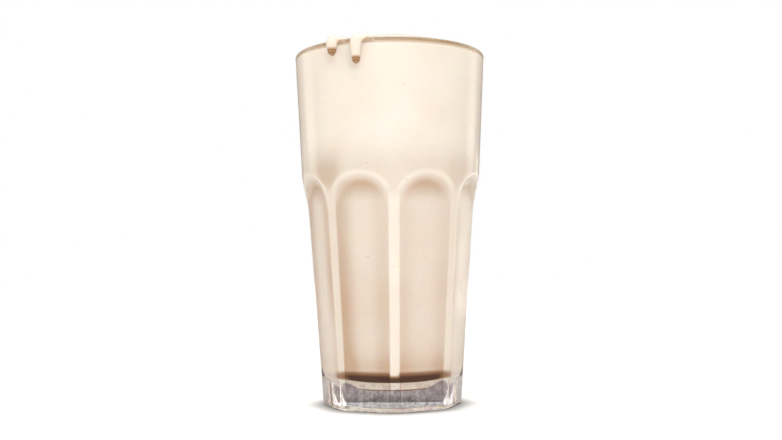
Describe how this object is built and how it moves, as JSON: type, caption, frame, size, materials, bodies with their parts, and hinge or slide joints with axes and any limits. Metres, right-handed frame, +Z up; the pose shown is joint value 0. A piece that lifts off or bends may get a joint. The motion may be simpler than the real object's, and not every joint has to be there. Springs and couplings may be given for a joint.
{
  "type": "vanilla milkshake",
  "caption": "Vanilla milkshake served in a tall, heavy, panelled pressed-glass tumbler, filled over the brim with drips running down from the lip.",
  "frame": {"origin": "on the table, at the middle of the glass's foot", "axes": "+Z up along the glass's axis; a rib of the glass faces -Y, and the drips hang to the left of it"},
  "size_m": [0.088, 0.088, 0.1655],
  "materials": {
    "glass": "clear, polished, with a faint mist of condensation",
    "milkshake": "smooth, wet, slightly translucent cream"
  },
  "bodies": {
    "root": {"glass": "glass", "milkshake": "milkshake"}
  },
  "joints": []
}
